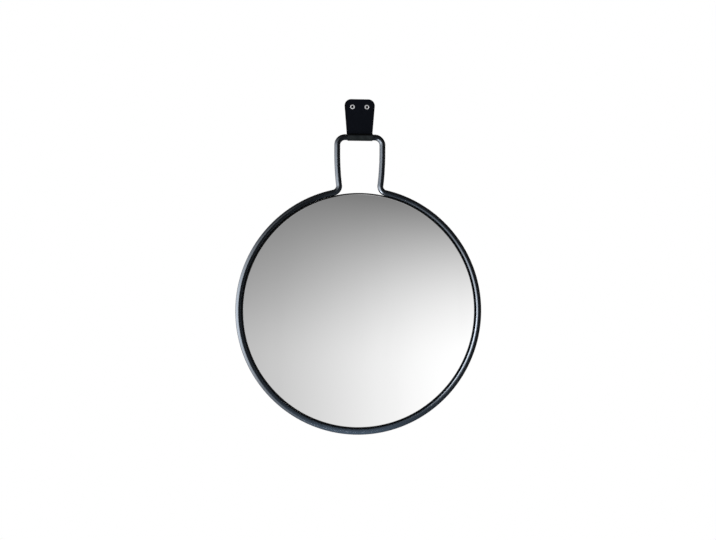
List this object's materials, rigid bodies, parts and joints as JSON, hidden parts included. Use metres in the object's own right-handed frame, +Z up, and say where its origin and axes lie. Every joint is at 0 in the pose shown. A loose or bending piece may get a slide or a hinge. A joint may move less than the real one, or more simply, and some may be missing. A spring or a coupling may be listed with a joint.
{
  "type": "round wall mirror",
  "caption": "Round mirror in a black bent steel rod frame with a rectangular neck, hanging by its crossbar from a folded black leather strap with eyelets.",
  "frame": {"origin": "midpoint between the two eyelet holes, on the wall plane, which is the strap's back face", "axes": "+X to the viewer's right along the wall, +Y into the wall, +Z up"},
  "size_m": [0.45, 0.0132, 0.6096],
  "materials": {
    "rod_paint": "semi-gloss black powder coat",
    "tab_paint": "semi-gloss black powder coat",
    "zinc": "zinc plated",
    "board": "black painted fibreboard",
    "foam_tape": "matte foam",
    "mirror": "silvered glass, polished bevel",
    "bumper_rubber": "matte",
    "leather": "smooth black leather, burnished edges",
    "nickel": "bright nickel"
  },
  "bodies": {
    "hanger": {"hanging_strap": "leather", "eyelet_left": "nickel", "eyelet_right": "nickel", "eyelet_washer_left": "nickel", "eyelet_washer_right": "nickel"},
    "mirror": {"frame_rod": "rod_paint", "frame_tab_upper_left": "tab_paint", "frame_tab_upper_right": "tab_paint", "frame_tab_lower_left": "tab_paint", "frame_tab_lower_right": "tab_paint", "tab_screws": "zinc", "backing_board": "board", "tape_strip_outer_left": "foam_tape", "tape_strip_inner_left": "foam_tape", "tape_strip_inner_right": "foam_tape", "tape_strip_outer_right": "foam_tape", "mirror_glass": "mirror", "wall_bumper_left": "bumper_rubber", "wall_bumper_right": "bumper_rubber"}
  },
  "joints": [
    {"name": "mirror_swing", "type": "hinge", "parent": "hanger", "child": "mirror", "pos_m": [0, -0.00658, -0.0555], "axis": [-1, 0, 0], "range_deg": [0, 180]}
  ]
}
